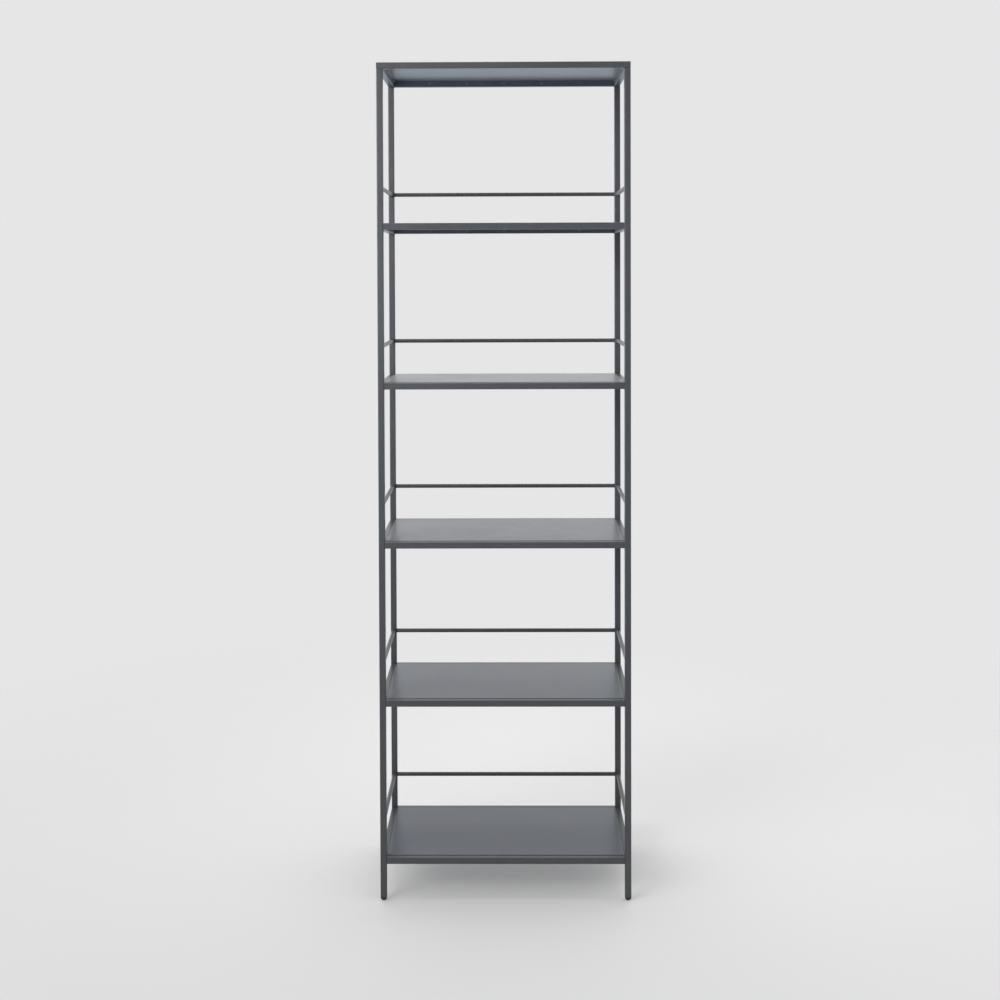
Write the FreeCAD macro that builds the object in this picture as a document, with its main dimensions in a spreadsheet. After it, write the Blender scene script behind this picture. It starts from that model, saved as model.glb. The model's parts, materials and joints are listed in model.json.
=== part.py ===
import FreeCAD, Part
import math
import os
import Sketcher

# Tall open etagere of square steel tube: four posts, a mitred top frame, five shelf
# frames welded between the posts, six folded sheet panels, a gallery of round rod
# round three sides of each shelf, and four ribbed plug feet.
# +X is to the right and -Y to the front, with the origin on the floor in the middle.

SHELF_COUNT = 5
FIN_COUNT = 4

# Driving dimensions, in millimetres: alias, value, what it measures.
DIMENSIONS = (
    ("width", 600, "overall width, over the posts"),
    ("depth", 320, "overall depth, over the posts"),
    ("height", 2000, "floor to the face of the top panel"),
    ("base_height", 104, "floor to the top of the lowest shelf's rails"),
    ("tube_size", 15, "outside of the square tube"),
    ("tube_wall", 1.2, "wall of the square tube"),
    ("tube_corner_radius", 2, "outside corner radius of the square tube"),
    ("panel_gauge", 1, "thickness of the panel sheet"),
    ("panel_bend_radius", 1, "inside radius of the panel folds"),
    ("panel_flange", 12, "depth of the folded edge, from the panel's face"),
    ("panel_rise", 1, "height of the panel's face above its rails"),
    ("panel_relief", 0.5, "corner relief past the end of each fold"),
    ("panel_clearance", 0.1, "between the folded edge and the rail"),
    ("rod_diameter", 10, "gallery rod"),
    ("rod_height", 86, "top of the rails to the middle of the rod"),
    ("foot_height", 10, "part of the foot that shows below the post"),
    ("foot_round", 5.5, "rounding of the foot's lower edges"),
    ("plug_length", 18, "part of the foot inside the post"),
    ("plug_core", 8, "square core of the plug"),
    ("plug_lead", 1.5, "chamfer on the plug's upper end"),
    ("fin_start", 2.5, "post's end to the first fin"),
    ("fin_thickness", 1.2, "each fin of the plug"),
    ("fin_pitch", 3.5, "from one fin to the next"),
    ("fin_clearance", 0.1, "between a fin and the bore of the post"),
    ("overrun", 1, "how far cutting profiles pass the metal"),
)

doc = FreeCAD.newDocument("tiered_shelf")
sheet = doc.addObject("Spreadsheet::Sheet", "Dimensions")
for row, (alias, number, note) in enumerate(DIMENSIONS, start=1):
    sheet.set(f"A{row}", note)
    sheet.set(f"B{row}", str(number))
    sheet.setAlias(f"B{row}", alias)
doc.recompute()

# Sizes and places worked out from the sheet.
TUBE = "Dimensions.tube_size"
HALF_TUBE = f"({TUBE} / 2)"
TUBE_BORE = f"({TUBE} - 2 * Dimensions.tube_wall)"
POST_X = f"((Dimensions.width - {TUBE}) / 2)"
POST_Y = f"((Dimensions.depth - {TUBE}) / 2)"
CLEAR_WIDTH = f"(Dimensions.width - 2 * {TUBE})"
CLEAR_DEPTH = f"(Dimensions.depth - 2 * {TUBE})"
TOP_RAILS = "(Dimensions.height - Dimensions.panel_rise)"
SHELF_PITCH = f"(({TOP_RAILS} - Dimensions.base_height) / {SHELF_COUNT})"
POST_LENGTH = f"({TOP_RAILS} - {TUBE} - Dimensions.foot_height)"
BEND_OUTSIDE = "(Dimensions.panel_bend_radius + Dimensions.panel_gauge)"
CORNER_NOTCH = f"({BEND_OUTSIDE} + Dimensions.panel_relief)"
PANEL_WIDTH = f"({CLEAR_WIDTH} - 2 * Dimensions.panel_clearance)"
PANEL_DEPTH = f"({CLEAR_DEPTH} - 2 * Dimensions.panel_clearance)"
FIN_SIDE = f"({TUBE_BORE} - 2 * Dimensions.fin_clearance)"

# How a sketch numbers its own axes, and the ends and centre of a line or an arc.
VERTICAL_AXIS, HORIZONTAL_AXIS = range(-2, 0)
START, END, CENTRE = range(1, 4)
ORIGIN = (HORIZONTAL_AXIS, START)


def value(expression):
    """The number that an expression of the sheet gives now."""
    return float(sheet.evalExpression(str(expression)))


def shelf_rails(number):
    """Height of the top of a shelf's rails; shelf 1 is the lowest."""
    return f"(Dimensions.base_height + {number - 1} * {SHELF_PITCH})"


def point(x, y):
    return FreeCAD.Vector(x, y, 0)


def new_body(label, x="0", y="0", z="0", turn=0):
    """A body of its own, turned about the vertical and placed by expressions."""
    body = doc.addObject("PartDesign::Body", label)
    body.Label = label
    upright = FreeCAD.Vector(0, 0, 1)
    body.Placement = FreeCAD.Placement(point(0, 0), FreeCAD.Rotation(upright, turn))
    body.setExpression("Placement.Base.x", x)
    body.setExpression("Placement.Base.y", y)
    body.setExpression("Placement.Base.z", z)
    return body


def origin_feature(body, role):
    return next(item for item in body.Origin.OriginFeatures if item.Role == role)


def sketch_on(body, plane, name, offset=None):
    """A sketch on one of the body's own planes, raised by an expression if one is given."""
    sketch = body.newObject("Sketcher::SketchObject", name)
    sketch.AttachmentSupport = [(origin_feature(body, plane), "")]
    sketch.MapMode = "FlatFace"
    if offset:
        sketch.setExpression("AttachmentOffset.Base.z", offset)
    return sketch


def dimension(sketch, name, kind, *arguments, size):
    """Adds a dimension to the sketch and ties it to the sheet."""
    index = sketch.addConstraint(Sketcher.Constraint(kind, *arguments, value(size)))
    sketch.renameConstraint(index, name)
    sketch.setExpression(f"Constraints.{name}", size)


def relations(sketch, *rows):
    for row in rows:
        sketch.addConstraint(Sketcher.Constraint(*row))


def arc(centre, radius, start, end):
    """An arc between two angles, given in quarter turns."""
    circle = Part.Circle(centre, FreeCAD.Vector(0, 0, 1), radius)
    return Part.ArcOfCircle(circle, start * math.pi / 2, end * math.pi / 2)


def square(sketch, name, side):
    """A centred square with sharp corners."""
    half = value(side) / 2
    corners = (point(-half, -half), point(half, -half), point(half, half), point(-half, half))
    sides = [
        sketch.addGeometry(Part.LineSegment(corners[turn], corners[(turn + 1) % 4]))
        for turn in range(4)
    ]
    for turn in range(4):
        relations(sketch, ("Coincident", sides[turn], END, sides[(turn + 1) % 4], START))
    relations(
        sketch,
        ("Horizontal", sides[0]),
        ("Vertical", sides[1]),
        ("Horizontal", sides[2]),
        ("Vertical", sides[3]),
        ("Symmetric", sides[0], START, sides[2], START, *ORIGIN),
        ("Equal", sides[0], sides[1]),
    )
    dimension(sketch, f"{name}_side", "DistanceX", sides[0], START, sides[0], END, size=side)


def rounded_square(sketch, name, side, radius):
    """A centred square with rounded corners."""
    half, corner = value(side) / 2, value(radius)
    flat = half - corner
    ends = (
        (point(-flat, -half), point(flat, -half)),
        (point(half, -flat), point(half, flat)),
        (point(flat, half), point(-flat, half)),
        (point(-half, flat), point(-half, -flat)),
    )
    centres = (point(flat, -flat), point(flat, flat), point(-flat, flat), point(-flat, -flat))
    sides = [sketch.addGeometry(Part.LineSegment(*pair)) for pair in ends]
    arcs = [
        sketch.addGeometry(arc(centre, corner, quarter - 1, quarter))
        for quarter, centre in enumerate(centres)
    ]
    for turn in range(4):
        following = sides[(turn + 1) % 4]
        relations(
            sketch,
            ("Tangent", sides[turn], END, arcs[turn], START),
            ("Tangent", arcs[turn], END, following, START),
        )
    relations(
        sketch,
        ("Horizontal", sides[2]),
        ("Vertical", sides[3]),
        ("Equal", arcs[0], arcs[1]),
        ("Equal", arcs[0], arcs[2]),
        ("Equal", arcs[0], arcs[3]),
        ("Symmetric", sides[0], START, sides[0], END, VERTICAL_AXIS),
        ("Symmetric", sides[1], START, sides[1], END, HORIZONTAL_AXIS),
        ("Equal", sides[0], sides[1]),
    )
    dimension(sketch, f"{name}_corner", "Radius", arcs[0], size=radius)
    dimension(sketch, f"{name}_side", "DistanceX", sides[3], START, sides[1], START, size=side)


def pad(body, sketch, name, length, both_ways=False):
    feature = body.newObject("PartDesign::Pad", name)
    feature.Profile = sketch
    feature.SideType = "Symmetric" if both_ways else "One side"
    feature.setExpression("Length", length)
    return feature


def pocket_through(body, sketch, name):
    """Cuts a profile right through, both ways from its sketch."""
    feature = body.newObject("PartDesign::Pocket", name)
    feature.Profile = sketch
    feature.Type = "ThroughAll"
    feature.SideType = "Symmetric"
    return feature


def tube_section(sketch):
    rounded_square(sketch, "outside", TUBE, "Dimensions.tube_corner_radius")
    square(sketch, "bore", TUBE_BORE)


def post(label, x, y):
    """An upright, open at the foot and closed at its head by the top frame."""
    body = new_body(label, x, y, "Dimensions.foot_height")
    section = sketch_on(body, "XY_Plane", f"{label}_section")
    tube_section(section)
    pad(body, section, f"{label}_tube", POST_LENGTH)


def rail(label, length, x, y, top, turn):
    """A square-ended tube that lies level, its top at the given height."""
    body = new_body(label, x, y, f"{top} - {HALF_TUBE}", turn)
    section = sketch_on(body, "YZ_Plane", f"{label}_section")
    tube_section(section)
    pad(body, section, f"{label}_tube", length, both_ways=True)
    return body


def mitred_rail(label, length, x, y, top, turn):
    """A rail of the top frame, mitred at both ends; its inner side is the body's +Y."""
    body = rail(label, length, x, y, top, turn)
    cut = sketch_on(body, "XY_Plane", f"{label}_mitre")
    reach, side, past = value(length) / 2, value(HALF_TUBE), value("Dimensions.overrun")
    outer = point(reach + past, -side - past)
    corner = point(reach + past, side + past)
    inner = point(reach - value(TUBE) - past, side + past)
    lines = [
        cut.addGeometry(Part.LineSegment(outer, corner)),
        cut.addGeometry(Part.LineSegment(corner, inner)),
        cut.addGeometry(Part.LineSegment(inner, outer)),
    ]
    relations(
        cut,
        ("Coincident", lines[0], END, lines[1], START),
        ("Coincident", lines[1], END, lines[2], START),
        ("Coincident", lines[2], END, lines[0], START),
        ("Vertical", lines[0]),
        ("Horizontal", lines[1]),
        ("Equal", lines[0], lines[1]),
    )
    overrun = "Dimensions.overrun"
    along = (*ORIGIN, lines[0], START)
    dimension(cut, "reach", "DistanceX", *along, size=f"{length} / 2 + {overrun}")
    inward = (*ORIGIN, lines[1], START)
    dimension(cut, "inside", "DistanceY", *inward, size=f"{HALF_TUBE} + {overrun}")
    across = (lines[0], START, lines[0], END)
    dimension(cut, "across", "DistanceY", *across, size=f"{TUBE} + 2 * {overrun}")
    doc.recompute()
    mitre = pocket_through(body, cut, f"{label}_mitre_cut")
    mirrored = body.newObject("PartDesign::Mirrored", f"{label}_far_mitre")
    mirrored.Originals = [mitre]
    mirrored.MirrorPlane = (origin_feature(body, "YZ_Plane"), [""])
    body.Tip = mirrored


def folded_section(sketch, span):
    """A sheet with both edges folded down: an upside-down U with round folds."""
    half, drop = value(span) / 2, value("Dimensions.panel_flange")
    outside, inside = value(BEND_OUTSIDE), value("Dimensions.panel_bend_radius")
    gauge = outside - inside
    bend = half - outside
    left, right = point(-bend, -outside), point(bend, -outside)
    line = {
        name: sketch.addGeometry(Part.LineSegment(point(*start), point(*end)))
        for name, start, end in (
            ("left_outside", (-half, -drop), (-half, -outside)),
            ("face", (-bend, 0), (bend, 0)),
            ("right_outside", (half, -outside), (half, -drop)),
            ("right_edge", (half, -drop), (half - gauge, -drop)),
            ("right_inside", (half - gauge, -drop), (half - gauge, -outside)),
            ("underside", (bend, -gauge), (-bend, -gauge)),
            ("left_inside", (gauge - half, -outside), (gauge - half, -drop)),
            ("left_edge", (gauge - half, -drop), (-half, -drop)),
        )
    }
    fold = {
        "left_outside": sketch.addGeometry(arc(left, outside, 1, 2)),
        "right_outside": sketch.addGeometry(arc(right, outside, 0, 1)),
        "right_inside": sketch.addGeometry(arc(right, inside, 0, 1)),
        "left_inside": sketch.addGeometry(arc(left, inside, 1, 2)),
    }
    relations(
        sketch,
        ("Tangent", line["left_outside"], END, fold["left_outside"], END),
        ("Tangent", fold["left_outside"], START, line["face"], START),
        ("Tangent", line["face"], END, fold["right_outside"], END),
        ("Tangent", fold["right_outside"], START, line["right_outside"], START),
        ("Tangent", line["right_inside"], END, fold["right_inside"], START),
        ("Tangent", fold["right_inside"], END, line["underside"], START),
        ("Tangent", line["underside"], END, fold["left_inside"], START),
        ("Tangent", fold["left_inside"], END, line["left_inside"], START),
        ("Coincident", line["right_outside"], END, line["right_edge"], START),
        ("Coincident", line["right_edge"], END, line["right_inside"], START),
        ("Coincident", line["left_inside"], END, line["left_edge"], START),
        ("Coincident", line["left_edge"], END, line["left_outside"], START),
        ("Coincident", fold["left_outside"], CENTRE, fold["left_inside"], CENTRE),
        ("Coincident", fold["right_outside"], CENTRE, fold["right_inside"], CENTRE),
        ("Vertical", line["left_outside"]),
        ("Vertical", line["right_outside"]),
        ("Vertical", line["right_inside"]),
        ("Vertical", line["left_inside"]),
        ("Horizontal", line["right_edge"]),
        ("Horizontal", line["left_edge"]),
        ("Horizontal", line["left_edge"], END, line["right_edge"], START),
        ("Symmetric", line["face"], START, line["face"], END, VERTICAL_AXIS),
        ("PointOnObject", line["face"], START, HORIZONTAL_AXIS),
        ("Equal", fold["left_outside"], fold["right_outside"]),
        ("Equal", fold["left_inside"], fold["right_inside"]),
    )
    dimension(sketch, "outside_radius", "Radius", fold["left_outside"], size=BEND_OUTSIDE)
    dimension(
        sketch, "inside_radius", "Radius", fold["left_inside"], size="Dimensions.panel_bend_radius"
    )
    across = (line["left_outside"], START, line["right_outside"], END)
    dimension(sketch, "span", "DistanceX", *across, size=span)
    deep = (line["left_outside"], START, *ORIGIN)
    dimension(sketch, "flange", "DistanceY", *deep, size="Dimensions.panel_flange")


def panel(label, rails):
    """A sheet folded down on four sides, each fold ending in a relief at the corners."""
    body = new_body(label, z=f"{rails} + Dimensions.panel_rise")
    across = sketch_on(body, "XZ_Plane", f"{label}_side_folds")
    folded_section(across, PANEL_WIDTH)
    pad(body, across, f"{label}_side_flanges", f"{PANEL_DEPTH} - 2 * {CORNER_NOTCH}", True)
    along = sketch_on(body, "YZ_Plane", f"{label}_long_folds")
    folded_section(along, PANEL_DEPTH)
    pad(body, along, f"{label}_long_flanges", f"{PANEL_WIDTH} - 2 * {CORNER_NOTCH}", True)


def rod(label, length, x, y, rails, turn):
    """A round gallery rod, cut square and butted to the flats of two posts."""
    body = new_body(label, x, y, f"{rails} + Dimensions.rod_height", turn)
    section = sketch_on(body, "YZ_Plane", f"{label}_section")
    radius = value("Dimensions.rod_diameter") / 2
    circle = section.addGeometry(Part.Circle(point(0, 0), FreeCAD.Vector(0, 0, 1), radius))
    relations(section, ("Coincident", circle, CENTRE, *ORIGIN))
    dimension(section, "diameter", "Diameter", circle, size="Dimensions.rod_diameter")
    pad(body, section, f"{label}_bar", length, both_ways=True)


def edges_at(feature, height):
    """Names of the edges that lie level at a height of the feature's own frame."""
    near = Part.Precision.approximation()
    found = []
    for number, edge in enumerate(feature.Shape.Edges, start=1):
        box = edge.BoundBox
        if abs(box.ZMin - height) < near and abs(box.ZMax - height) < near:
            found.append(f"Edge{number}")
    return found


def foot(label, x, y):
    """A moulded foot: a rounded head under the post and a finned plug inside it."""
    body = new_body(label, x, y)
    block = sketch_on(body, "XY_Plane", f"{label}_block")
    square(block, "head", TUBE)
    head = pad(body, block, f"{label}_head", "Dimensions.foot_height")
    doc.recompute()
    rounding = body.newObject("PartDesign::Fillet", f"{label}_rounding")
    rounding.Base = (head, edges_at(head, 0))
    rounding.setExpression("Radius", "Dimensions.foot_round")
    doc.recompute()
    trim = sketch_on(body, "XY_Plane", f"{label}_corner_trim")
    rounded_square(trim, "keep", TUBE, "Dimensions.tube_corner_radius")
    square(trim, "waste", f"{TUBE} + 2 * Dimensions.overrun")
    pocket_through(body, trim, f"{label}_corner_cut")
    core = sketch_on(body, "XY_Plane", f"{label}_core", "Dimensions.foot_height")
    square(core, "core", "Dimensions.plug_core")
    plug = pad(body, core, f"{label}_plug", "Dimensions.plug_length")
    doc.recompute()
    tip = value("Dimensions.foot_height + Dimensions.plug_length")
    lead = body.newObject("PartDesign::Chamfer", f"{label}_lead")
    lead.Base = (plug, edges_at(plug, tip))
    lead.setExpression("Size", "Dimensions.plug_lead")
    first = sketch_on(
        body, "XY_Plane", f"{label}_fin", "Dimensions.foot_height + Dimensions.fin_start"
    )
    square(first, "fin", FIN_SIDE)
    fin = pad(body, first, f"{label}_first_fin", "Dimensions.fin_thickness")
    doc.recompute()
    fins = body.newObject("PartDesign::LinearPattern", f"{label}_fins")
    fins.Originals = [fin]
    fins.Direction = (origin_feature(body, "Z_Axis"), [""])
    fins.Occurrences = FIN_COUNT
    fins.setExpression("Length", f"{FIN_COUNT - 1} * Dimensions.fin_pitch")
    body.Tip = fins


CORNERS = (
    ("front_left", f"-{POST_X}", f"-{POST_Y}"),
    ("front_right", POST_X, f"-{POST_Y}"),
    ("rear_left", f"-{POST_X}", POST_Y),
    ("rear_right", POST_X, POST_Y),
)
# Side, place of its middle, whether it runs along the width, and its turn, inner side to +Y.
SIDES = (
    ("front", "0", f"-{POST_Y}", True, 0),
    ("rear", "0", POST_Y, True, 180),
    ("left", f"-{POST_X}", "0", False, -90),
    ("right", POST_X, "0", False, 90),
)

for corner, corner_x, corner_y in CORNERS:
    post(f"{corner}_post", corner_x, corner_y)
    foot(f"{corner}_foot", corner_x, corner_y)

for side, side_x, side_y, wide, turned in SIDES:
    full = "Dimensions.width" if wide else "Dimensions.depth"
    between = CLEAR_WIDTH if wide else CLEAR_DEPTH
    mitred_rail(f"top_{side}_rail", full, side_x, side_y, TOP_RAILS, turned)
    for shelf in range(1, SHELF_COUNT + 1):
        level = shelf_rails(shelf)
        rail(f"shelf_{shelf}_{side}_rail", between, side_x, side_y, level, turned)
        if side != "front":
            rod(f"gallery_{shelf}_{side}_rod", between, side_x, side_y, level, turned)

panel("top_panel", TOP_RAILS)
for shelf in range(1, SHELF_COUNT + 1):
    panel(f"shelf_{shelf}_panel", shelf_rails(shelf))

doc.recompute()

for item in doc.Objects:
    if "Invalid" in item.State or "Error" in item.State:
        raise RuntimeError(f"{item.Label} could not be computed")
for sketch in doc.findObjects("Sketcher::SketchObject"):
    if not sketch.FullyConstrained:
        raise RuntimeError(f"{sketch.Label} is not fully constrained")

bodies = doc.findObjects("PartDesign::Body")
for body in bodies:
    if body.Shape.isNull() or not body.Shape.isValid() or len(body.Shape.Solids) != 1:
        raise RuntimeError(f"{body.Label} is not one valid solid")

os.makedirs("parts", exist_ok=True)
for body in bodies:
    body.Shape.exportStep(f"parts/{body.Label}.step")
print(len(bodies), "sub-parts written")
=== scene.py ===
import json
import math
import random

import bmesh
import bpy
from mathutils import Matrix, Vector


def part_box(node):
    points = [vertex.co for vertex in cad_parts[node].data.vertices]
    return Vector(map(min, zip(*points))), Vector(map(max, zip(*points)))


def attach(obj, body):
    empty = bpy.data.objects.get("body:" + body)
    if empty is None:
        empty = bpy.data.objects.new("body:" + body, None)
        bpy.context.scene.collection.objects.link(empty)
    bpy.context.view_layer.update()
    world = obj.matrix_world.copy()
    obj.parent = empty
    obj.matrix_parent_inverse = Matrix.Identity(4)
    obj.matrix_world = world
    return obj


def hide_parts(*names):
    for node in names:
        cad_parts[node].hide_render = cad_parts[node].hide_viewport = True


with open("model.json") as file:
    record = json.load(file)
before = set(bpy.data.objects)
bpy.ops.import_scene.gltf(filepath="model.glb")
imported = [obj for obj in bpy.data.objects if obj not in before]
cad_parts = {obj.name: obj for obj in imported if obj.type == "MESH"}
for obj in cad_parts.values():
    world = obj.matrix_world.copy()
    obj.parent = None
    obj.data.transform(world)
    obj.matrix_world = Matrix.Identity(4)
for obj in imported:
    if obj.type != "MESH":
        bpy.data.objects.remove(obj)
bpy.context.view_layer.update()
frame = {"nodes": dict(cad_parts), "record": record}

# Tall open etagere of powder-coated steel. The frame brings every tube, rod and sheet. This script
# adds their finish, the welds that hold them together, feet with a domed head in place of the
# frame's, and the floor, light and camera.
# Metres, +X to the right and -Y to the front, with the floor at z = 0.

MM = 0.001
SHELVES = range(1, 6)
RAIL_SIDES = ("front", "rear", "left", "right")
ROD_SIDES = ("rear", "left", "right")
CORNERS = ("front_left", "front_right", "rear_left", "rear_right")
WHITE = (1, 1, 1)

# The camera shows the unit as the photograph does. Angles are in radians, the lens in millimetres.
CAMERA_PLACE = Vector((0.0173, -3.3185, 1.4901))
CAMERA_PITCH = 0.0248
CAMERA_TURN = 0.0085
CAMERA_ROLL = -0.0033
CAMERA_LENS = 48.09
CAMERA_SHIFT_UP = -0.189
CAMERA_REACH = 60

# Sizes that the frame's tubes and sheets have.
TUBE_CORNER = 2 * MM
TUBE_WALL = 1.2 * MM
SHEET_GAUGE = 1 * MM

# Weld beads: their ripple, their tapering ends, and how thick they are and where their middle
# lies at a tube and round a rod.
BEAD_SIDES = 10
BEAD_STEP = 0.4 * MM
FEWEST_BEAD_POINTS = 4
DROP_PITCH = 1.5 * MM
DROP_SWELL = 0.14
UNEVEN_SWELL = 0.05
BEAD_END_STEPS = 0.7
BEAD_END_POWER = 0.35
TUBE_BEAD_RADIUS = 1.1 * MM
TUBE_BEAD_STANDOFF = 0.25 * MM
ROD_BEAD_RADIUS = 0.85 * MM
ROD_BEAD_LIFT = 0.15 * MM
ROD_BEAD_INSET = 0.35 * MM
ROD_BEAD_POINTS = 72
WELD_SEED = 41

# Spot welds: their place below the sheet's face, their pitch, how many there are each way from
# the one in the middle of a fold, and the rings of one, each as a share of its half sizes and a
# height above the fold.
SPOT_WELD_DROP = 7.5 * MM
SPOT_WELD_PITCH = 96 * MM
LONG_FOLD_WELDS = 2
SHORT_FOLD_WELDS = 1
SPOT_WELD_HALF_WIDTH = 3.2 * MM
SPOT_WELD_HALF_HEIGHT = 2.6 * MM
SPOT_WELD_SIDES = 24
SPOT_WELD_MIDDLE = 0.12 * MM
SPOT_WELD_RINGS = ((0.55, 0.10 * MM), (0.72, 0.36 * MM), (0.88, 0.30 * MM), (1.0, -0.05 * MM))

# Moulded feet: a domed head on a round flat, a square plug, and the fins round the plug. Edges
# past the sharp angle stay crisp, and points within the merge distance become one.
FLAT_RADIUS = 2 * MM
DOME_HEIGHT = 7.5 * MM
DOME_STEPS = 12
CORNER_STEPS = 8
PLUG_HALF = 4 * MM
PLUG_CORNER = 0.4 * MM
PLUG_LEAD = 1.5 * MM
FIN_COUNT = 4
FIN_START = 2.5 * MM
FIN_THICKNESS = 1.2 * MM
FIN_PITCH = 3.5 * MM
FIN_CLEARANCE = 0.1 * MM
SHARP_ANGLE = math.radians(40)
MERGE_DISTANCE = 0.001 * MM

# Colours are linear, as the shader takes them. A tint is the factor that changes one.
TUBE_COLOUR = (0.0615, 0.0655, 0.072)
# The sheets have the tubes' powder coat, made lighter and bluer here: painted light from above on the
# shelves.
SHEET_PAINTED_LIGHT_COLOUR = (0.070, 0.084, 0.109)
ROD_COLOUR = (0.058, 0.059, 0.062)
PLASTIC_COLOUR = (0.030, 0.031, 0.033)
# The spot welds take the sheet colour lightened by this tint: a painted highlight where their dimples
# would catch the light.
SPOT_WELD_HIGHLIGHT_TINT = 1.7

# Roughness where a coat is thin and where it is thick.
TUBE_ROUGHNESS = (0.29, 0.35)
SHEET_ROUGHNESS = (0.30, 0.36)
ROD_ROUGHNESS = (0.29, 0.36)
SPOT_WELD_ROUGHNESS = (0.26, 0.32)

# Noises of the powder coat. The size is that of a blotch.
NOISE_ROUGHNESS = 0.55
CLOUD = {"size": 110 * MM, "detail": 4}
PATCH = {"size": 17 * MM, "detail": 3}
PEEL = {"size": 1.6 * MM, "detail": 2, "roughness": 0.5}
GRAIN = {"size": 0.4 * MM, "detail": 1}
WIPE = {"size": 20 * MM, "detail": 3, "stretch": (0.16, 1.0, 1.0)}
WAVE = {"size": 160 * MM, "detail": 1, "roughness": 0.4}

# Powder coat: levels of noise between which a trait grows, what it grows from and to, and tints.
CLOUD_SHARE = 0.65
THICKNESS_LEVELS = (0.36, 0.64)
THIN_TINT = 0.93
THICK_TINT = 1.07
ROUGHNESS_LEVELS = (0.34, 0.66)
FLECK_LEVELS = (0.70, 0.80)
FLECK_AMOUNTS = (0.0, 0.03)
FLECK_TINT = 1.6
WEAR_LEVELS = (0.46, 0.66)
WEAR_AMOUNTS = (0.04, 0.16)
WEAR_TINT = 1.3
WIPE_LEVELS = (0.35, 0.65)
WIPE_ROUGHNESS = (-0.010, 0.012)

# Powder coat: relief, edges and haze.
TUBE_PEEL_HEIGHT = 0.006 * MM
SHEET_PEEL_HEIGHT = 0.003 * MM
GRAIN_HEIGHT = 0.001 * MM
WAVE_HEIGHT = 0.09 * MM
COAT_EDGE = 0.7 * MM
COAT_IOR = 1.5
SHEET_HAZE = 0.15
HAZE_ROUGHNESS = 0.4
HAZE_TINT = (0.95, 0.97, 1.0)

# The edge mask compares the rounded normal with the plain one: its levels on a flat and an edge.
EDGE_SAMPLES = 4
EDGE_LEVELS = (0.998, 0.86)

# Moulded plastic: a fine grain, a cloudy shade, scuffs near the floor and rubbed edges.
PLASTIC_GRAIN = {"size": 0.5 * MM, "detail": 3}
PLASTIC_GRAIN_HEIGHT = 0.02 * MM
PLASTIC_CLOUD = {"size": 6 * MM, "detail": 3}
PLASTIC_CLOUD_LEVELS = (0.35, 0.65)
PLASTIC_ROUGHNESS = (0.48, 0.62)
PLASTIC_IOR = 1.48
DULL_TINT = 0.85
BRIGHT_TINT = 1.2
SCUFF_HEIGHTS = (4 * MM, 0.0)
SCUFF_AMOUNTS = (0.0, 0.5)
SCUFF_LEVELS = (0.4, 0.6)
SCUFF_SHARES = (0.2, 1.0)
SCUFF_TINT = 2.6
RUBBED_EDGE = 0.5 * MM
RUBBED_SHARE = 0.3
RUBBED_TINT = 2.0

# Floor: a disc that fades out between two distances from the middle of the unit.
FLOOR_RADIUS = 3.0
FLOOR_SIDES = 96
FLOOR_FADE = (0.7, 2.6)
FLOOR_CLOUD = {"size": 0.6, "detail": 2}
FLOOR_CLOUD_LEVELS = (0.4, 0.6)
FLOOR_LEVEL = 0.92
FLOOR_DIP = 0.995
FLOOR_ROUGHNESS = 0.9
FLOOR_GLOW_SHARE = 0.24

# World: brightness of what the camera sees, of what the gloss mirrors and of the light itself.
BACKGROUND_LEVEL = 0.79
REFLECTED_LEVEL = 0.98
AMBIENT_LEVEL = 0.81

# The world is dimmer in front of the unit, and below the horizon the gloss mirrors a cool glow.
# Each of the two grows between two values of the direction's y or z.
FRONT_SHARE = 0.43
FRONT_TO_BACK = (-0.9, 0.3)
COOL_GLOW = (0.87, 0.96, 1.07)
HORIZON_TO_FLOOR = (0.0, -0.12)

# Spread, in degrees, of a lamp that shines to all sides in front of it.
FULL_SPREAD = 180


def new_object(name, data):
    """Adds an object to the scene and returns it."""
    added = bpy.data.objects.new(name, data)
    bpy.context.scene.collection.objects.link(added)
    return added


def place_camera():
    """Adds the camera and makes it the scene's."""
    data = bpy.data.cameras.new("photo_camera")
    data.lens = CAMERA_LENS
    data.shift_y = CAMERA_SHIFT_UP
    data.clip_end = CAMERA_REACH
    camera = new_object("photo_camera", data)
    turn = Matrix.Rotation(CAMERA_TURN, 4, "Z")
    tilt = Matrix.Rotation(math.pi / 2 - CAMERA_PITCH, 4, "X")
    roll = Matrix.Rotation(CAMERA_ROLL, 4, "Z")
    camera.matrix_world = Matrix.Translation(CAMERA_PLACE) @ turn @ tilt @ roll
    bpy.context.scene.camera = camera


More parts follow.
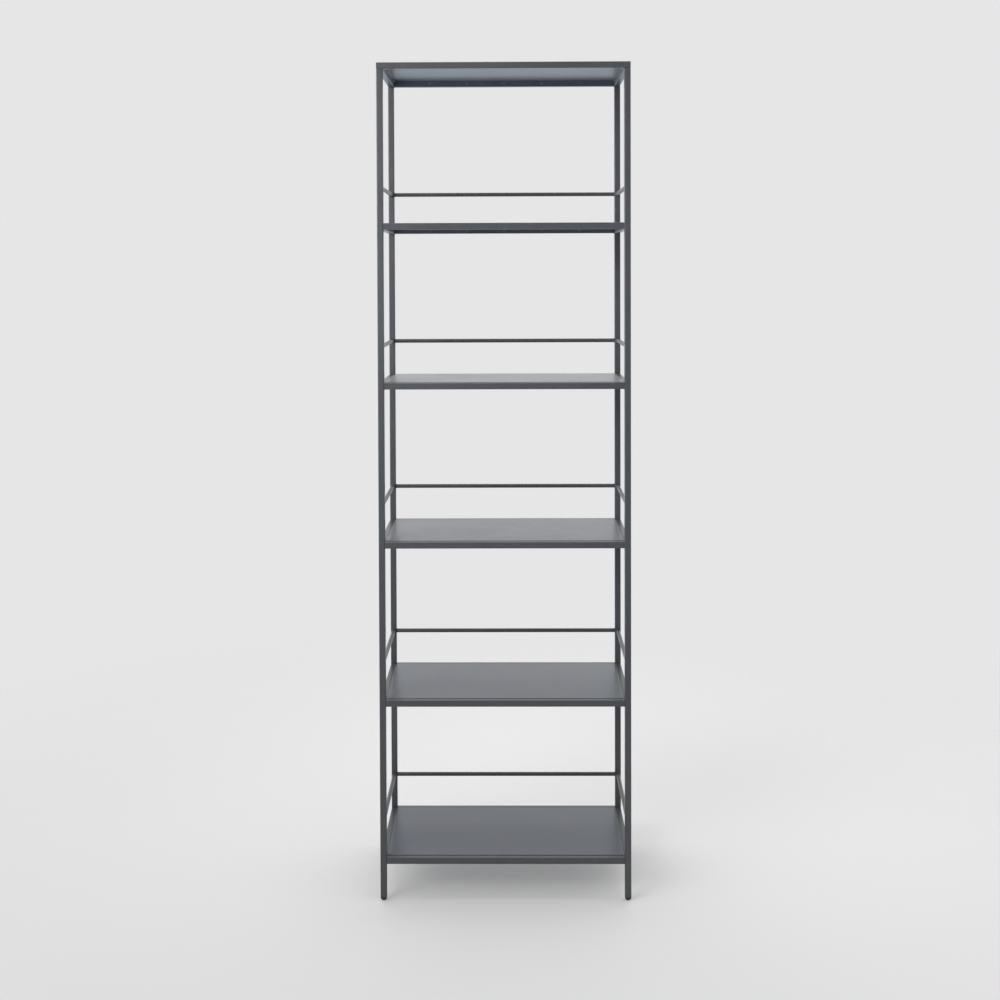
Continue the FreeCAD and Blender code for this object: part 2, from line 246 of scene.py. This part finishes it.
class Shader:
    """The nodes of a material or world, with short ways to add and join them.

    A source is a value, an output, or a node, which stands for its first output.
    """

    def __init__(self, owner, output):
        """Clears the owner's nodes, and adds its output and its texture coordinates."""
        owner.use_nodes = True
        self.owner = owner
        self.tree = owner.node_tree
        self.tree.nodes.clear()
        self.output = self.add(output)
        self.places = self.add("ShaderNodeTexCoord").outputs

    def plug(self, source, socket):
        """Joins a source to an input, or sets the input to it; a colour gets its alpha."""
        if isinstance(source, bpy.types.Node):
            source = source.outputs[0]
        if isinstance(source, bpy.types.NodeSocket):
            self.tree.links.new(source, socket)
        elif socket.type == "RGBA":
            socket.default_value = (*source, 1)
        else:
            socket.default_value = source

    def add(self, kind, *sources, **settings):
        """Adds a node with these settings, and feeds its inputs in their order."""
        node = self.tree.nodes.new(kind)
        for name, setting in settings.items():
            setattr(node, name, setting)
        for source, socket in zip(sources, node.inputs):
            self.plug(source, socket)
        return node

    def feed(self, node, **inputs):
        """Feeds a node's inputs by name; an underscore stands for a space."""
        for name, source in inputs.items():
            self.plug(source, node.inputs[name.replace("_", " ")])
        return node

    def noise(self, size, detail, roughness=NOISE_ROUGHNESS, stretch=None):
        """Noise whose blotches are about as large as the given size, in metres."""
        place = self.places["Object"]
        if stretch:
            place = self.feed(self.add("ShaderNodeMapping"), Vector=place, Scale=stretch)
        node = self.add("ShaderNodeTexNoise")
        return self.feed(node, Vector=place, Scale=1 / size, Detail=detail, Roughness=roughness)

    def span(self, source, levels, results=(0.0, 1.0), **settings):
        """Maps a value from one pair of levels to another, and holds it at the ends."""
        return self.add("ShaderNodeMapRange", source, *levels, *results, **settings)

    def combine(self, operation, first, second):
        """Works out one value from two."""
        return self.add("ShaderNodeMath", first, second, operation=operation)

    def blend(self, factor, first, second):
        """Mixes two colours by a value from 0 to 1."""
        node = self.add("ShaderNodeMix", data_type="RGBA")
        sockets = {socket.identifier: socket for socket in (*node.inputs, *node.outputs)}
        self.plug(factor, sockets["Factor_Float"])
        self.plug(first, sockets["A_Color"])
        self.plug(second, sockets["B_Color"])
        return sockets["Result_Color"]

    def edges(self, width):
        """A value that rises to 1 along the edges of the piece."""
        rounded = self.add("ShaderNodeBevel", width, samples=EDGE_SAMPLES)
        plain = self.add("ShaderNodeNewGeometry").outputs["Normal"]
        likeness = self.add("ShaderNodeVectorMath", rounded, plain, operation="DOT_PRODUCT")
        return self.span(likeness.outputs["Value"], EDGE_LEVELS)

    def bump(self, height, distance, **under):
        """Normals raised by a height, over the bump given as Normal where there is one."""
        return self.feed(self.add("ShaderNodeBump"), Height=height, Distance=distance, **under)

    def surface(self, **inputs):
        """A Principled surface, with its inputs given by name."""
        return self.feed(self.add("ShaderNodeBsdfPrincipled"), **inputs)

    def finish(self, surface):
        """Sends a surface to the output, and returns the finished material or world."""
        self.plug(surface, self.output.inputs["Surface"])
        return self.owner


def material_shader(name):
    """The empty nodes of a new material."""
    return Shader(bpy.data.materials.new(name), "ShaderNodeOutputMaterial")


def tinted(colour, factor):
    """A colour made darker or brighter by a factor."""
    return tuple(channel * factor for channel in colour)


def powder_coat(name, colour, roughness, sheet=False):
    """Satin powder coat: orange peel, cloudy thickness, fine flecks, thin edges, and haze on sheets."""
    shader = material_shader(name)
    cloud = shader.noise(**CLOUD)
    patch = shader.noise(**PATCH)
    peel = shader.noise(**PEEL)
    grain = shader.noise(**GRAIN)
    cloud_part = shader.combine("MULTIPLY", cloud, CLOUD_SHARE)
    patch_part = shader.combine("MULTIPLY", patch, 1 - CLOUD_SHARE)
    thickness = shader.combine("ADD", cloud_part, patch_part)
    shade = shader.span(thickness, THICKNESS_LEVELS)
    base = shader.blend(shade, tinted(colour, THIN_TINT), tinted(colour, THICK_TINT))
    fleck = shader.span(grain, FLECK_LEVELS, FLECK_AMOUNTS)
    base = shader.blend(fleck, base, tinted(colour, FLECK_TINT))
    wear = shader.span(patch, WEAR_LEVELS, WEAR_AMOUNTS)
    worn = shader.combine("MULTIPLY", shader.edges(COAT_EDGE), wear)
    base = shader.blend(worn, base, tinted(colour, WEAR_TINT))
    rough = shader.span(thickness, ROUGHNESS_LEVELS, roughness)
    normal = shader.bump(peel, SHEET_PEEL_HEIGHT if sheet else TUBE_PEEL_HEIGHT)
    normal = shader.bump(grain, GRAIN_HEIGHT, Normal=normal)
    if sheet:
        wiped = shader.span(shader.noise(**WIPE), WIPE_LEVELS, WIPE_ROUGHNESS)
        rough = shader.combine("ADD", rough, wiped)
        normal = shader.bump(shader.noise(**WAVE), WAVE_HEIGHT, Normal=normal)
    surface = shader.surface(
        Base_Color=base,
        Roughness=rough,
        Normal=normal,
        IOR=COAT_IOR,
        Sheen_Weight=SHEET_HAZE if sheet else 0.0,
        Sheen_Roughness=HAZE_ROUGHNESS,
        Sheen_Tint=HAZE_TINT,
    )
    return shader.finish(surface)


def moulded_plastic(name, colour, roughness):
    """Matt moulded plastic with a spark-eroded grain, scuffed where it turns to the floor."""
    shader = material_shader(name)
    grain = shader.noise(**PLASTIC_GRAIN)
    cloud = shader.noise(**PLASTIC_CLOUD)
    shade = shader.span(cloud, PLASTIC_CLOUD_LEVELS)
    base = shader.blend(shade, tinted(colour, DULL_TINT), tinted(colour, BRIGHT_TINT))
    height = shader.add("ShaderNodeSeparateXYZ", shader.places["Object"]).outputs["Z"]
    low = shader.span(height, SCUFF_HEIGHTS, SCUFF_AMOUNTS)
    scuff = shader.combine("MULTIPLY", low, shader.span(grain, SCUFF_LEVELS, SCUFF_SHARES))
    base = shader.blend(scuff, base, tinted(colour, SCUFF_TINT))
    rubbed = shader.combine("MULTIPLY", shader.edges(RUBBED_EDGE), RUBBED_SHARE)
    base = shader.blend(rubbed, base, tinted(colour, RUBBED_TINT))
    rough = shader.span(cloud, PLASTIC_CLOUD_LEVELS, roughness)
    normal = shader.bump(grain, PLASTIC_GRAIN_HEIGHT)
    surface = shader.surface(Base_Color=base, Roughness=rough, Normal=normal, IOR=PLASTIC_IOR)
    return shader.finish(surface)


def make_finishes():
    """One finish for each material slot of the record, and one for the spot welds, lightened as a
    painted highlight.
    """
    spot_weld_highlight_colour = tinted(SHEET_PAINTED_LIGHT_COLOUR, SPOT_WELD_HIGHLIGHT_TINT)
    return {
        "frame": powder_coat("frame_powder_coat", TUBE_COLOUR, TUBE_ROUGHNESS),
        "panel": powder_coat("sheet_powder_coat", SHEET_PAINTED_LIGHT_COLOUR, SHEET_ROUGHNESS, sheet=True),
        "gallery": powder_coat("rod_powder_coat", ROD_COLOUR, ROD_ROUGHNESS),
        "foot": moulded_plastic("foot_plastic", PLASTIC_COLOUR, PLASTIC_ROUGHNESS),
        "spot_weld": powder_coat("spot_weld_highlight_coat", spot_weld_highlight_colour, SPOT_WELD_ROUGHNESS),
    }


def dress_frame(finishes):
    """Gives every tube, sheet, rod and foot of the frame the finish of its material slot."""
    for part in frame["record"]["subparts"]:
        materials = frame["nodes"][part["node"]].data.materials
        materials.clear()
        materials.append(finishes[part["material_slot"]])


def mesh_piece(name, bm, material):
    """Turns a bmesh into a smooth piece of the unit that rides with its frame."""
    bmesh.ops.recalc_face_normals(bm, faces=bm.faces)
    mesh = bpy.data.meshes.new(name)
    bm.to_mesh(mesh)
    bm.free()
    mesh.polygons.foreach_set("use_smooth", [True] * len(mesh.polygons))
    mesh.materials.append(material)
    piece = new_object(name, mesh)
    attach(piece, "root")
    return piece


def skin(bm, rings):
    """Joins each ring of points to the next one with a band of faces."""
    for first, second in zip(rings, rings[1:]):
        for index, point in enumerate(first):
            following = (index + 1) % len(first)
            bm.faces.new((point, first[following], second[following], second[index]))


def cap(bm, rings):
    """Closes the first and the last ring with a face each."""
    bm.faces.new(reversed(rings[0]))
    bm.faces.new(rings[-1])


def bead(bm, path, radius, dice, closed=False):
    """A weld bead along a path: a tube that swells once for every drop of weld metal."""
    rings = []
    travelled = 0.0
    count = len(path)
    start = dice.uniform(0, math.tau)
    for index, place in enumerate(path):
        before = path[index - 1] if index or closed else place
        after = path[(index + 1) % count] if index < count - 1 or closed else place
        along = (after - before).normalized()
        travelled += (place - before).length if index else 0.0
        across = along.orthogonal().normalized()
        upward = along.cross(across)
        swell = 1 + DROP_SWELL * math.sin(start + math.tau * travelled / DROP_PITCH)
        swell += dice.uniform(-UNEVEN_SWELL, UNEVEN_SWELL)
        if not closed:
            share = (index + BEAD_END_STEPS) / (count - 1 + 2 * BEAD_END_STEPS)
            swell *= math.sin(math.pi * share) ** BEAD_END_POWER
        ring = []
        for side in range(BEAD_SIDES):
            angle = math.tau * side / BEAD_SIDES
            offset = across * math.cos(angle) + upward * math.sin(angle)
            ring.append(bm.verts.new(place + offset * radius * swell))
        rings.append(ring)
    if closed:
        skin(bm, rings + rings[:1])
    else:
        skin(bm, rings)
        cap(bm, rings)


def straight(start, end):
    """The points of a straight bead."""
    count = max(FEWEST_BEAD_POINTS, round((end - start).length / BEAD_STEP))
    return [start.lerp(end, index / (count - 1)) for index in range(count)]


def bar_ends(low, high):
    """The axis that a bar runs along, 0 for X or 1 for Y, and each end with the way back inward."""
    axis = 0 if high.x - low.x > high.y - low.y else 1
    return axis, ((low[axis], 1), (high[axis], -1))


def rod_welds(level, material, dice):
    """Rings of weld where the three rods of one gallery meet the posts."""
    bm = bmesh.new()
    for side in ROD_SIDES:
        low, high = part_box(f"gallery_{level}_{side}_rod")
        axis, ends = bar_ends(low, high)
        radius = (high.z - low.z) / 2 + ROD_BEAD_LIFT
        for end, inward in ends:
            path = []
            for step in range(ROD_BEAD_POINTS):
                angle = math.tau * step / ROD_BEAD_POINTS
                place = (low + high) / 2
                place[axis] = end + inward * ROD_BEAD_INSET
                place[1 - axis] += radius * math.cos(angle)
                place.z += radius * math.sin(angle)
                path.append(place)
            bead(bm, path, ROD_BEAD_RADIUS, dice, closed=True)
    mesh_piece(f"weld_beads_gallery_{level}", bm, material)


def rail_welds(level, material, dice):
    """Short beads under the ends of the four rails of one shelf, against the posts."""
    bm = bmesh.new()
    for side in RAIL_SIDES:
        low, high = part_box(f"shelf_{level}_{side}_rail")
        axis, ends = bar_ends(low, high)
        for end, inward in ends:
            bead_ends = []
            for across in (low[1 - axis] + TUBE_CORNER, high[1 - axis] - TUBE_CORNER):
                place = Vector((0, 0, low.z - TUBE_BEAD_STANDOFF))
                place[axis] = end + inward * TUBE_BEAD_STANDOFF
                place[1 - axis] = across
                bead_ends.append(place)
            bead(bm, straight(*bead_ends), TUBE_BEAD_RADIUS, dice)
    mesh_piece(f"weld_beads_shelf_{level}", bm, material)


def head_welds(material, dice):
    """Beads on the two inner sides of each post's head, under the top frame."""
    bm = bmesh.new()
    for corner in CORNERS:
        low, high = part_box(f"{corner}_post")
        inner = Vector((high.x if low.x < 0 else low.x, high.y if low.y < 0 else low.y, high.z))
        outward = Vector((math.copysign(1, inner.x), math.copysign(1, inner.y), 0))
        for axis in (0, 1):
            start = inner.copy()
            end = inner.copy()
            start[axis] += outward[axis] * TUBE_CORNER
            end[axis] += outward[axis] * (high.x - low.x - TUBE_CORNER)
            for place in (start, end):
                place[1 - axis] -= outward[1 - axis] * TUBE_BEAD_STANDOFF
                place.z -= TUBE_BEAD_STANDOFF
            bead(bm, straight(start, end), TUBE_BEAD_RADIUS, dice)
    mesh_piece("weld_beads_top", bm, material)


def spot_weld(bm, centre, axis, facing):
    """A pressed oval button where a sheet's folded edge is spot welded to its rail."""
    rings = []
    for share, height in SPOT_WELD_RINGS:
        ring = []
        for side in range(SPOT_WELD_SIDES):
            angle = math.tau * side / SPOT_WELD_SIDES
            place = centre.copy()
            place[axis] += facing * height
            place[1 - axis] += share * SPOT_WELD_HALF_WIDTH * math.cos(angle)
            place.z += share * SPOT_WELD_HALF_HEIGHT * math.sin(angle)
            ring.append(bm.verts.new(place))
        rings.append(ring)
    middle = centre.copy()
    middle[axis] += facing * SPOT_WELD_MIDDLE
    hub = bm.verts.new(middle)
    for side in range(SPOT_WELD_SIDES):
        bm.faces.new((hub, rings[0][side], rings[0][(side + 1) % SPOT_WELD_SIDES]))
    skin(bm, rings)
    bm.faces.new(rings[-1])


def spot_welds(panel, material):
    """Buttons along the inside of a panel's four folded edges."""
    low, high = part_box(panel)
    centre = (low + high) / 2
    centre.z = high.z - SPOT_WELD_DROP
    bm = bmesh.new()
    for axis, each_way in ((1, LONG_FOLD_WELDS), (0, SHORT_FOLD_WELDS)):
        for wall, facing in ((low[axis] + SHEET_GAUGE, 1), (high[axis] - SHEET_GAUGE, -1)):
            for step in range(-each_way, each_way + 1):
                place = centre.copy()
                place[axis] = wall
                place[1 - axis] += step * SPOT_WELD_PITCH
                spot_weld(bm, place, axis, facing)
    mesh_piece(panel.replace("panel", "spot_welds"), bm, material)


def foot_profile(half, seat, tip):
    """Half width, corner radius and height of each section of a foot, from the floor up."""
    sections = []
    for step in range(DOME_STEPS + 1):
        share = step / DOME_STEPS
        angle = math.pi / 2 * share
        width = FLAT_RADIUS + (half - FLAT_RADIUS) * math.sin(angle)
        corner = width + (TUBE_CORNER - width) * share**2
        sections.append((width, corner, DOME_HEIGHT * (1 - math.cos(angle))))
    sections += [(half, TUBE_CORNER, seat), (PLUG_HALF, PLUG_CORNER, seat)]
    fin_half = half - TUBE_WALL - FIN_CLEARANCE
    for fin in range(FIN_COUNT):
        start = seat + FIN_START + fin * FIN_PITCH
        end = start + FIN_THICKNESS
        for width, height in ((PLUG_HALF, start), (fin_half, start), (fin_half, end), (PLUG_HALF, end)):
            sections.append((width, PLUG_CORNER, height))
    sections.append((PLUG_HALF, PLUG_CORNER, tip - PLUG_LEAD))
    sections.append((PLUG_HALF - PLUG_LEAD, PLUG_CORNER, tip))
    return sections


def rounded_ring(bm, centre, half, corner, height):
    """The points of one rounded square, a circle where the corner radius is the half width."""
    ring = []
    for quarter, (right, back) in enumerate(((1, 1), (-1, 1), (-1, -1), (1, -1))):
        for step in range(CORNER_STEPS + 1):
            angle = math.pi / 2 * (quarter + step / CORNER_STEPS)
            x = centre.x + right * (half - corner) + corner * math.cos(angle)
            y = centre.y + back * (half - corner) + corner * math.sin(angle)
            ring.append(bm.verts.new((x, y, height)))
    return ring


def domed_foot(corner, material):
    """A moulded foot: a domed head under the post and a finned plug inside it."""
    low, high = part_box(f"{corner}_foot")
    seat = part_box(f"{corner}_post")[0].z
    bm = bmesh.new()
    rings = [
        rounded_ring(bm, (low + high) / 2, *section)
        for section in foot_profile((high.x - low.x) / 2, seat, high.z)
    ]
    skin(bm, rings)
    cap(bm, rings)
    bmesh.ops.remove_doubles(bm, verts=bm.verts, dist=MERGE_DISTANCE)
    piece = mesh_piece(f"{corner}_domed_foot", bm, material)
    piece.data.set_sharp_from_angle(angle=SHARP_ANGLE)
    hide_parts(f"{corner}_foot")


def floor_material():
    """A pale matt floor that glows a little for the camera and turns clear further out."""
    shader = material_shader("studio_floor")
    cloud = shader.span(shader.noise(**FLOOR_CLOUD), FLOOR_CLOUD_LEVELS)
    base = shader.blend(cloud, tinted(WHITE, FLOOR_LEVEL * FLOOR_DIP), tinted(WHITE, FLOOR_LEVEL))
    matt = shader.surface(Base_Color=base, Roughness=FLOOR_ROUGHNESS, Specular_IOR_Level=0.0)
    seen = shader.add("ShaderNodeLightPath").outputs["Is Camera Ray"]
    glow = shader.add("ShaderNodeEmission", WHITE, shader.combine("MULTIPLY", seen, BACKGROUND_LEVEL))
    glow_share = shader.combine("MULTIPLY", seen, FLOOR_GLOW_SHARE)
    lifted = shader.add("ShaderNodeMixShader", glow_share, matt, glow)
    reach = shader.add("ShaderNodeVectorMath", shader.places["Object"], operation="LENGTH")
    fade = shader.span(reach.outputs["Value"], FLOOR_FADE, interpolation_type="SMOOTHSTEP")
    clear = shader.add("ShaderNodeBsdfTransparent")
    return shader.finish(shader.add("ShaderNodeMixShader", fade, lifted, clear))


def studio_floor():
    """A disc that keeps the unit's shadow and melts into the background further out."""
    bm = bmesh.new()
    bmesh.ops.create_circle(bm, cap_ends=True, radius=FLOOR_RADIUS, segments=FLOOR_SIDES)
    mesh = bpy.data.meshes.new("studio_floor")
    bm.to_mesh(mesh)
    bm.free()
    mesh.materials.append(floor_material())
    floor = new_object("studio_floor", mesh)


def studio_world():
    """Soft light from all round, dimmer from the front; the camera sees the plain background."""
    studio = Shader(bpy.data.worlds.new("studio"), "ShaderNodeOutputWorld")
    path = studio.add("ShaderNodeLightPath").outputs
    direction = studio.add("ShaderNodeSeparateXYZ", studio.places["Generated"]).outputs
    room = studio.span(direction["Y"], FRONT_TO_BACK, (FRONT_SHARE, 1.0))
    tint = studio.blend(studio.span(direction["Z"], HORIZON_TO_FLOOR), WHITE, COOL_GLOW)
    ambient = studio.combine("MULTIPLY", room, AMBIENT_LEVEL)
    reflected = studio.combine("MULTIPLY", room, REFLECTED_LEVEL)
    light = studio.add("ShaderNodeBackground", WHITE, ambient)
    gloss = studio.add("ShaderNodeBackground", tint, reflected)
    backdrop = studio.add("ShaderNodeBackground", WHITE, BACKGROUND_LEVEL)
    mirrored = studio.combine("MAXIMUM", path["Is Glossy Ray"], path["Is Transmission Ray"])
    unseen = studio.add("ShaderNodeMixShader", mirrored, light, gloss)
    whole = studio.add("ShaderNodeMixShader", path["Is Camera Ray"], unseen, backdrop)
    bpy.context.scene.world = studio.finish(whole)


def softbox(name, place, target, side, power, spread=FULL_SPREAD):
    """A square lamp that points at a target: its side in metres, power in watts, spread in degrees."""
    data = bpy.data.lights.new(name, "AREA")
    data.size = side
    data.energy = power
    data.spread = math.radians(spread)
    lamp = new_object(name, data)
    lamp.visible_camera = False
    lamp.location = place
    aim = Vector(target) - Vector(place)
    lamp.rotation_euler = aim.to_track_quat("-Z", "Y").to_euler()


place_camera()
finishes = make_finishes()
dress_frame(finishes)
dice = random.Random(WELD_SEED)
for shelf in SHELVES:
    rod_welds(shelf, finishes["gallery"], dice)
    rail_welds(shelf, finishes["frame"], dice)
    spot_welds(f"shelf_{shelf}_panel", finishes["spot_weld"])
spot_welds("top_panel", finishes["spot_weld"])
head_welds(finishes["frame"], dice)
for corner in CORNERS:
    domed_foot(corner, finishes["foot"])
studio_floor()
studio_world()
softbox("overhead_softbox", place=(0, 0.8, 4.5), target=(0, 0, 0), side=4.0, power=40)
softbox("left_softbox", place=(-1.5, -1.3, 1.6), target=(-0.2, 0, 1.5), side=1.5, power=8.4, spread=90)
softbox("high_left_softbox", place=(-2, -2.4, 2.6), target=(-0.1, 0, 1.7), side=1.8, power=8, spread=60)

bpy.context.scene.view_settings.view_transform = "Standard"
